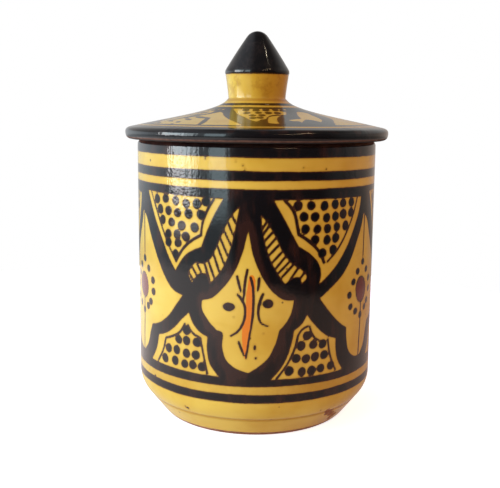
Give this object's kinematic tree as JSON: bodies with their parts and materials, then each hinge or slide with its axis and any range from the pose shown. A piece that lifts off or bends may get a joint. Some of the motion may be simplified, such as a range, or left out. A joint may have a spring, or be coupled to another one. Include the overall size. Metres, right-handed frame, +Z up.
{
  "type": "lidded herb pot",
  "caption": "Small straight-sided earthenware jar with a bevelled foot and a low conical lift-off lid with a pointed knob, for keeping dried herbs or spices.",
  "frame": {"origin": "on the pot's axis, in the plane of the foot ring that the jar stands on", "axes": "+Z up along the pot's axis, through the knob; -Y towards the front of the painted pattern; +X to the right as seen from the front"},
  "size_m": [0.121, 0.121, 0.1765],
  "materials": {
    "jar_glaze": "honey-yellow gloss glaze over brushed black pattern, bare terracotta on the foot",
    "lid_glaze": "black and honey-yellow gloss glaze, bare terracotta under the edge and on the flange"
  },
  "bodies": {
    "jar": {"jar": "jar_glaze"},
    "lid": {"lid": "lid_glaze"}
  },
  "joints": [
    {"name": "lid_lift", "type": "slide", "parent": "jar", "child": "lid", "axis": [0, 0, 1], "range_m": [0, 0.12]}
  ]
}
